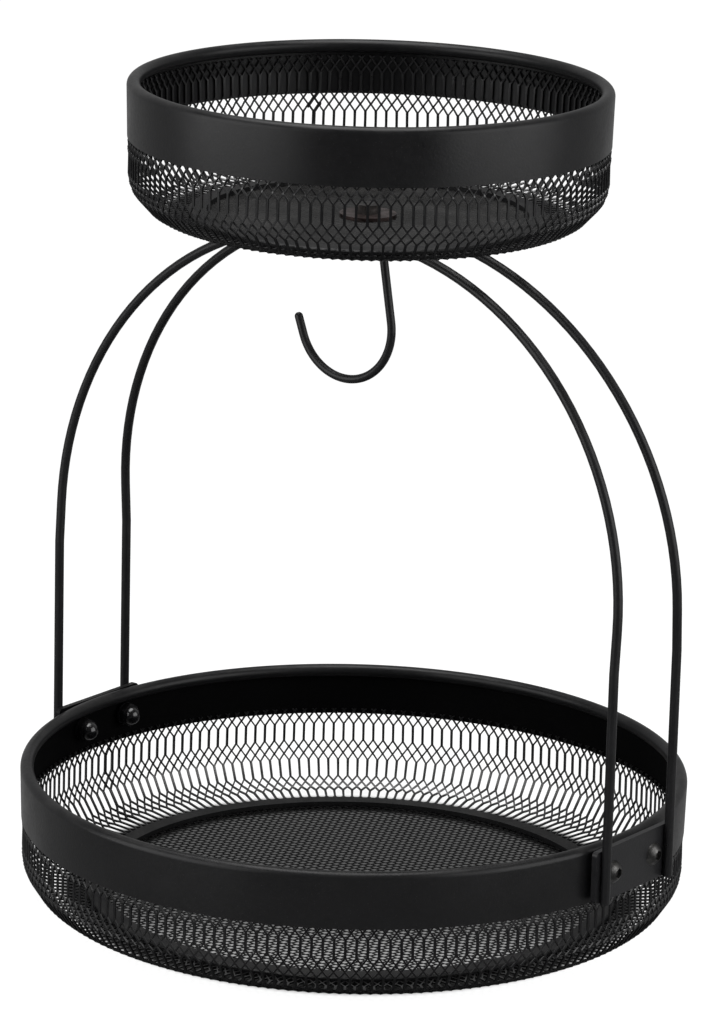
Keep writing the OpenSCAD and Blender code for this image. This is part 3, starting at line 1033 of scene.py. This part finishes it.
@dataclass
class FloorMesh:
    """The flat diamond mesh that closes a bowl's floor, clamped under the base ring."""

    tier: Tier
    edge_r: float
    base_z: float
    hole_r: float = 0.0
    long_way: float = 6.1
    short_way: float = 3.6
    turn: float = 26.6
    knot_l: float = 0.80
    knot_w: float = 0.45
    relief: float = -0.16
    thickness: float = 0.36
    level: float = 1.5

    def flat_cell(self) -> Object:
        """One knot with the two strands that leave it to the right.

        Returns:
            The cell, flat, in millimetres.
        """
        cell = new_cell(self.tier.value + "_floor_cell")
        upper, lower = (Vector((self.long_way / 2, side * self.short_way / 2, 0)) for side in (1, -1))
        for place in (Vector(), upper, lower):
            add_knot(cell, place, self.knot_l, self.knot_w, self.relief)
        for side, place in ((1, upper), (-1, lower)):
            leave = Vector((self.knot_l, side * self.knot_w, side * self.relief)) / 2
            add_strand(cell, leave, place - leave)
        finish_cell(cell, near(upper, lower, reach=KNOT_REACH))
        return cell

    def build(self) -> Object:
        """Makes the floor from rows of cells, cut off round at the ring and at the centre hole.

        Returns:
            The floor, in place.
        """
        mesh = self.flat_cell()
        reach = math.hypot(self.long_way, self.short_way) / 2
        apart = self.long_way * self.short_way / 2 / reach
        count = 2 * math.ceil(self.edge_r / apart) + 2
        for side in (1, -1):
            repeat(mesh, count, (self.long_way / 2, side * self.short_way / 2, 0))
        middle = Vector(((count - 1) * self.long_way / 2, 0, 0))
        turned = Matrix.Rotation(math.radians(self.turn), 3, "Z")
        move_points(mesh, lambda point: turned @ (point - middle))
        make_active(mesh)
        bpy.ops.object.mode_set(mode="EDIT")
        pick(mesh, Pick.VERT, lambda point: not self.hole_r <= point.xy.length <= self.edge_r)
        bpy.ops.mesh.delete(type="VERT")
        bpy.ops.object.mode_set(mode="OBJECT")
        lift = Vector((0, 0, self.base_z + self.level))
        move_points(mesh, lambda point: (point + lift) * MM)
        weld_and_face_out(mesh, MESH_MERGE)
        apply_modifier(mesh, "SOLIDIFY", thickness=self.thickness * MM, offset=0.0, use_rim=True)
        smooth(mesh, MESH_SMOOTH)
        mesh.name = self.tier.value + "_floor_strands"
        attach(mesh, "root")
        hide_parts(self.tier.value + "_floor_mesh")
        return mesh


@dataclass
class BananaHook:
    """The wire hook: an eye on the centre bolt, a bend, a leaning shank, a round bowl and a round tip.

    The distance at which points merge is in metres.
    """

    wire_r: float = 1.9
    eye_r: float = 5.2
    eye_turn: float = 280.0
    eye_z: float = 306.6
    run: float = 5.4
    bend_r: float = 7.0
    lean: float = 10.0
    shank: float = 33.0
    bowl_r: float = 25.0
    bowl_turn: float = 170.0
    tip: float = 8.0
    sides: int = 24
    eye_steps: int = 40
    bend_steps: int = 14
    bowl_steps: int = 44
    tip_steps: int = 5
    mouth_reach: float = 2.1
    mouth_depth: float = 0.001
    merge: float = 0.000001
    smooth_angle: float = 40.0

    def extrude(self, along: Vector) -> None:
        """Carries the selected ring of points straight on.

        Args:
            along: How far, and which way.
        """
        bpy.ops.mesh.extrude_edges_move(TRANSFORM_OT_translate={"value": along})

    def round_tip(self, finish: Vector, along: Vector) -> None:
        """Rounds off the wire's end with ever smaller rings.

        Args:
            finish: The middle of the ring that is there.
            along: The direction of the wire there.
        """
        for step in range(1, self.tip_steps):
            now, before = (math.radians(90 * k / self.tip_steps) for k in (step, step - 1))
            self.extrude(along * self.wire_r * (math.sin(now) - math.sin(before)))
            shrink = math.cos(now) / math.cos(before)
            centre = finish + along * self.wire_r * math.sin(now)
            bpy.ops.transform.resize(value=(shrink, shrink, shrink), center_override=centre)
        bpy.ops.mesh.edge_face_add()

    def at_mouth(self, point: Vector) -> bool:
        """Whether a point is on the ring where the eye starts, which is left open until the end.

        Args:
            point: The point, in millimetres.

        Returns:
            True on that ring.
        """
        start = math.radians(270 - self.eye_turn)
        place = point - Vector((self.eye_r * math.cos(start), self.eye_r * math.sin(start), self.eye_z))
        inwards = Vector((-math.sin(start), math.cos(start), 0))
        return abs(place.dot(inwards)) < self.mouth_depth and place.length < self.mouth_reach

    def build(self) -> Object:
        """Makes the hook from one ring of points, carried along the wire's middle.

        Returns:
            The hook, in place.
        """
        deselect_nodes()
        start = math.radians(270 - self.eye_turn)
        bpy.ops.mesh.primitive_circle_add(
            vertices=self.sides,
            radius=self.wire_r,
            location=(self.eye_r * math.cos(start), self.eye_r * math.sin(start), self.eye_z),
            rotation=(math.pi / 2, 0, start),
        )
        hook = bpy.context.object
        bpy.ops.object.transform_apply(location=True, rotation=True, scale=True)
        bpy.ops.object.mode_set(mode="EDIT")
        bpy.ops.mesh.select_mode(type="EDGE")
        bpy.ops.mesh.select_all(action="SELECT")
        carry_round(self.eye_turn, Vector((0, 0, self.eye_z)), Vector((0, 0, 1)), self.eye_steps)
        self.extrude(Vector((self.run, 0, 0)))
        across = Vector((0, 1, 0))
        bend = Vector((self.run, -self.eye_r, self.eye_z - self.bend_r))
        carry_round(90 - self.lean, bend, across, self.bend_steps)
        lean = math.radians(self.lean)
        down = Vector((math.sin(lean), 0, -math.cos(lean)))
        self.extrude(down * self.shank)
        side = Vector((math.cos(lean), 0, math.sin(lean)))
        bowl = bend + self.bend_r * side + down * self.shank - self.bowl_r * side
        carry_round(self.bowl_turn, bowl, across, self.bowl_steps)
        end = math.radians(self.lean - self.bowl_turn)
        along = Vector((math.sin(end), 0, -math.cos(end)))
        self.extrude(along * self.tip)
        finish = bowl + self.bowl_r * Vector((math.cos(end), 0, math.sin(end))) + along * self.tip
        self.round_tip(finish, along)
        pick(hook, Pick.VERT, self.at_mouth)
        bpy.ops.mesh.edge_face_add()
        bpy.ops.object.mode_set(mode="OBJECT")
        move_points(hook, lambda point: point * MM)
        weld_and_face_out(hook, self.merge)
        smooth(hook, self.smooth_angle)
        hook.name = "hook_wire"
        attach(hook, "root")
        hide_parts("banana_hook")
        return hook


def at_brackets(*parts: str) -> tuple[str, ...]:
    """The nodes of some small parts at the four screws.

    Args:
        parts: The parts' names, without their places.

    Returns:
        The nodes' names.
    """
    places = [f"{side}_{end}" for side in ("left", "right") for end in ("front", "rear")]
    return tuple(f"{place}_{part}" for place in places for part in parts)


@dataclass
class PlainParts:
    """The solids that keep their shape, by the finish that each shows."""

    finishes: dict[EnamelFinish | SteelFinish, Iterable[str]] = field(
        default_factory=lambda: {
            RING_ENAMEL: ("lower_base_ring", "upper_base_ring", "lower_foot_ring", "upper_foot_ring"),
            WIRE_ENAMEL: ("front_wire_arch", "rear_wire_arch"),
            # The lighter copy goes on the right plate and the darker copy on the left and crown plates:
            # painted light and shade on one enamel.
            PLATE_ENAMEL: ("right_bracket_plate",),
            SHADED_PLATE_ENAMEL: ("left_bracket_plate", "crown_plate"),
            SCREW_STEEL: at_brackets("screw"),
            NUT_ENAMEL: at_brackets("washer", "dome_nut"),
            BOLT_STEEL: ("centre_bolt", "centre_nut"),
            WASHER_STEEL: ("centre_washer",),
        }
    )

    def dress(self, effects: Effects) -> None:
        """Gives each solid its finish.

        Args:
            effects: The shared node groups.
        """
        for finish, names in self.finishes.items():
            material = finish.material(effects)
            for name in names:
                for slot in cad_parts[name].material_slots:
                    slot.material = material
            LOG.info("%s on %s", finish.name, ", ".join(names))


@dataclass
class Studio:
    """The plain pale floor, the soft light and the photograph's camera.

    Brightness is a share of white, and a span is where it starts and stops to change. The spans where the
    painted shadow under the bowl starts and ends, the table span and the far span are distances from the
    axis. The span of the painted light under the bowl is a distance from it towards the camera, the
    backdrop span one away from the camera, and the sky span goes by direction alone.
    """

    azimuth: float = 36.9326
    pitch: float = 15.5187
    roll: float = 1.419
    lens: float = 173.94
    sensor: float = 36.0
    camera_place: Place = (1.26962, -1.69406, 0.7658)
    floor_white: float = 0.86
    sky_on_object: float = 0.45
    room_in_front: float = 0.10
    backdrop_mirrored: float = 0.42
    sky_span: Span = (-0.1, 0.45)
    backdrop_span: Span = (-0.3, 0.6)
    # Spans and levels of the painted shadow and painted light that the camera sees on the ground under the
    # bowl.
    painted_shadow_start_span: Span = (0.106, 0.113)
    painted_light_span: Span = (0.02, 0.09)
    painted_light_front: float = 0.26
    painted_light_back: float = 0.10
    painted_shadow_end_span: Span = (0.127, 0.135)
    beside_light: float = 1.04
    table_span: Span = (0.13, 0.165)
    table_mirrored: float = 0.42
    far_span: Span = (0.35, 0.9)
    glow_under: float = 0.98
    less_beside: float = 0.13
    more_far: float = 0.15
    side_turn: float = 63.0
    side_reach: float = 1.3
    side_z: float = 0.6

    @property
    def ahead(self) -> Place:
        """The level direction that the camera looks in."""
        azimuth = math.radians(self.azimuth)
        return (-math.sin(azimuth), math.cos(azimuth), 0.0)

    def along(self, tree: NodeTree, place: NodeSocket) -> NodeSocket:
        """How far a place or a direction lies from the axis, level and away from the camera.

        Args:
            tree: The node tree that it goes into.
            place: The place's or the direction's socket.

        Returns:
            The distance's socket.
        """
        settings = {"operation": "DOT_PRODUCT"}
        return tree.add("ShaderNodeVectorMath", settings, _0=place, _1=self.ahead).outputs["Value"]

    def mirrored(self, tree: NodeTree, place: NodeSocket, span: Span) -> NodeSocket:
        """How bright a place or a direction is in a reflection: pale behind the object, dim in front.

        Args:
            tree: The node tree that it goes into.
            place: The place's or the direction's socket.
            span: How far ahead the dim part ends and the pale part starts.

        Returns:
            The brightness.
        """
        behind = tree.ramp(self.along(tree, place), *span)
        rise = tree.math("MULTIPLY", behind, self.backdrop_mirrored - self.room_in_front)
        return tree.math("ADD", rise, self.room_in_front)

    def floor(self) -> None:
        """Lays a wide pale floor, white round the object's soft shadow, with painted shade and light under
        the bowl.
        """
        deselect_nodes()
        bpy.ops.mesh.primitive_plane_add(size=14.0, location=(0, 0, 0))
        floor = bpy.context.object
        floor.name = "studio_floor"
        made, tree = new_material("studio_floor")
        rays = tree.add("ShaderNodeLightPath").outputs
        place = tree.add("ShaderNodeTexCoord").outputs["Object"]
        distance = tree.add("ShaderNodeVectorMath", {"operation": "LENGTH"}, _0=place).outputs["Value"]
        # To the camera, the ground under the bowl is painted. It is dim at the back, with painted light
        # growing towards the front under the open mesh floor. Under the bend it turns black as a painted
        # shadow ring, and beyond that it is white.
        open_floor = tree.math("SUBTRACT", 1.0, tree.ramp(distance, *self.painted_shadow_start_span))
        front = tree.ramp(tree.math("MULTIPLY", self.along(tree, place), -1.0), *self.painted_light_span)
        painted_light = tree.math("ADD", tree.math("MULTIPLY", front, self.painted_light_front), self.painted_light_back)
        under = tree.math("MULTIPLY", open_floor, painted_light)
        beside = tree.ramp(distance, *self.painted_shadow_end_span)
        # In reflections, the floor is black under the bowl as a painted shadow. Round it lies a grey table
        # that fades to the backdrop far off.
        table = tree.math("MULTIPLY", tree.ramp(distance, *self.table_span), self.table_mirrored)
        far = tree.ramp(distance, *self.far_span)
        near_part = tree.math("MULTIPLY", tree.math("SUBTRACT", 1.0, far), table)
        far_part = tree.math("MULTIPLY", far, self.mirrored(tree, place, self.backdrop_span))
        reflected = tree.math("ADD", near_part, far_part)
        seen = tree.math("SUBTRACT", self.glow_under, tree.math("MULTIPLY", beside, self.less_beside))
        seen = tree.math("ADD", seen, tree.math("MULTIPLY", far, self.more_far))
        glossy = rays["Is Glossy Ray"]
        share = tree.math("MAXIMUM", tree.math("MULTIPLY", rays["Is Camera Ray"], seen), glossy)
        shown = tree.math("MAXIMUM", tree.math("MULTIPLY", beside, self.beside_light), under)
        level = tree.add("ShaderNodeMix", None, Factor=glossy, A=shown, B=reflected).outputs[0]
        diffuse = tree.add("ShaderNodeBsdfDiffuse", None, Color=opaque((self.floor_white,) * 3))
        glow = tree.add("ShaderNodeEmission", None, Color=opaque(WHITE), Strength=level)
        mixed = tree.add("ShaderNodeMixShader", None, _0=share, _1=diffuse.outputs[0], _2=glow.outputs[0])
        tree.add("ShaderNodeOutputMaterial", None, Surface=mixed.outputs[0])
        floor.data.materials.append(made)

    def sky(self) -> None:
        """Makes the world white to the eye, soft on the object, and paler behind in reflections."""
        world = bpy.data.worlds.new("studio_sky")
        world.use_nodes = True
        world.node_tree.nodes.clear()
        tree = NodeTree(world.node_tree)
        rays = tree.add("ShaderNodeLightPath").outputs
        shown = tree.math("MAXIMUM", rays["Is Camera Ray"], rays["Is Transmission Ray"])
        direction = tree.add("ShaderNodeTexCoord").outputs["Generated"]
        reflected = self.mirrored(tree, direction, self.sky_span)
        glossy = rays["Is Glossy Ray"]
        level = tree.add("ShaderNodeMix", None, Factor=glossy, A=self.sky_on_object, B=reflected)
        strength = tree.add("ShaderNodeMix", None, Factor=shown, A=level.outputs[0], B=1.0).outputs[0]
        glow = tree.add("ShaderNodeBackground", None, Color=opaque(WHITE), Strength=strength)
        tree.add("ShaderNodeOutputWorld", None, Surface=glow.outputs[0])
        bpy.context.scene.world = world

    def lamp(self, name: str, place: Place, size: tuple[float, float], watts: float, aim_z: float) -> None:
        """Adds a rectangular area lamp that faces the upright axis.

        Args:
            name: The lamp's name.
            place: Where it hangs, in metres.
            size: Its width and height, in metres.
            watts: Its power.
            aim_z: Height of the point on the axis that it faces.
        """
        deselect_nodes()
        bpy.ops.object.light_add(type="AREA", location=place)
        lamp = bpy.context.object
        lamp.name = name
        lamp.data.shape = "RECTANGLE"
        lamp.data.size, lamp.data.size_y = size
        lamp.data.energy = watts
        aim = Vector((0, 0, aim_z)) - Vector(place)
        lamp.rotation_mode = "QUATERNION"
        lamp.rotation_quaternion = aim.to_track_quat("-Z", "Y")

    def camera(self) -> None:
        """Sets the camera where the photograph was taken from."""
        deselect_nodes()
        bpy.ops.object.camera_add(location=self.camera_place)
        camera = bpy.context.object
        camera.data.lens = self.lens
        camera.data.sensor_width = self.sensor
        azimuth, pitch, roll = (math.radians(value) for value in (self.azimuth, self.pitch, self.roll))
        ahead = Vector(self.ahead)
        right = Vector((math.cos(azimuth), math.sin(azimuth), 0))
        up = math.sin(pitch) * ahead + math.cos(pitch) * Vector((0, 0, 1))
        forward = math.cos(pitch) * ahead - math.sin(pitch) * Vector((0, 0, 1))
        rolled_right = math.cos(roll) * right + math.sin(roll) * up
        rolled_up = -math.sin(roll) * right + math.cos(roll) * up
        axes = Matrix((rolled_right, rolled_up, -forward)).transposed()
        camera.rotation_mode = "QUATERNION"
        camera.rotation_quaternion = axes.to_quaternion()
        bpy.context.scene.camera = camera

    def build(self) -> None:
        """Builds the floor, the sky, the lamps and the camera."""
        self.floor()
        self.sky()
        self.lamp("top_softbox", place=(-0.1, -0.1, 1.8), size=(1.3, 1.3), watts=42.0, aim_z=0.18)
        for name, side in (("left_softbox", -1), ("right_softbox", 1)):
            angle = math.radians(self.azimuth - 90 + side * self.side_turn)
            place = (self.side_reach * math.cos(angle), self.side_reach * math.sin(angle), self.side_z)
            self.lamp(name, place, size=(1.35, 1.2), watts=20.0, aim_z=self.side_z)
        self.camera()
        bpy.context.scene.view_settings.view_transform = "Standard"


LOWER_BAND = RimBand(Tier.LOWER, rim_r=150.0, base_z=0.0)
UPPER_BAND = RimBand(Tier.UPPER, rim_r=106.0, base_z=310.5)
LOWER_WALL = MeshWall(
    LOWER_BAND, flange_r=116.5, columns=195, first_angle=165.88, first_row=5.25,
    tuck=2.5, way=1.0, seam_column=6.5, bend_r=18.8,
)
UPPER_WALL = MeshWall(
    UPPER_BAND, flange_r=74.5, columns=137, first_angle=157.03, first_row=8.2,
    tuck=17.5, way=-1.0, seam_column=6.0, bend_r=20.8, strands=Strands(relief=0.40),
)
LOWER_FLOOR = FloorMesh(Tier.LOWER, edge_r=116.2, base_z=LOWER_BAND.base_z)
UPPER_FLOOR = FloorMesh(Tier.UPPER, edge_r=74.2, base_z=UPPER_BAND.base_z, hole_r=3.3, relief=0.26)


def give(obj: Object, *materials: Material) -> None:
    """Gives a new piece its materials, and keeps which face has which.

    Args:
        obj: The piece.
        materials: The material of each slot, in order.
    """
    picked = [face.material_index for face in obj.data.polygons]
    obj.data.materials.clear()
    for material in materials:
        obj.data.materials.append(material)
    for face, slot in zip(obj.data.polygons, picked):
        face.material_index = min(slot, len(materials) - 1)
    names = ", ".join(item.name for item in materials)
    LOG.info("%s: %d faces, %s", obj.name, len(obj.data.polygons), names)


def main() -> None:
    """Builds every piece in order."""
    logging.basicConfig(level=logging.INFO, format="%(name)s: %(message)s")
    effects = Effects()
    studio = Studio()
    studio.build()
    band_material = BAND_ENAMEL.material(effects)
    # The lower band's inner face takes the near-black copy of the enamel: painted shade.
    give(LOWER_BAND.build(), band_material, SHADED_INSIDE_ENAMEL.material(effects))
    give(UPPER_BAND.build(), band_material)
    # Wall faces outside take the darker copy of the enamel as painted shade. Faces inside or facing up take
    # the lighter copy as painted light.
    shaded_mesh_material = SHADED_MESH_ENAMEL.material(effects)
    lit_mesh_material = LIT_INNER_MESH_ENAMEL.material(effects)
    for wall in (LOWER_WALL, UPPER_WALL):
        give(wall.build(), shaded_mesh_material, lit_mesh_material)
    # The lower floor takes the darker copy as painted shade, and the upper floor takes the lighter copy as
    # painted light.
    give(LOWER_FLOOR.build(), SHADED_LOW_FLOOR_ENAMEL.material(effects))
    give(UPPER_FLOOR.build(), LIT_HIGH_FLOOR_ENAMEL.material(effects))
    give(BananaHook().build(), WIRE_ENAMEL.material(effects))
    PlainParts().dress(effects)


if __name__ == "__main__":
    main()
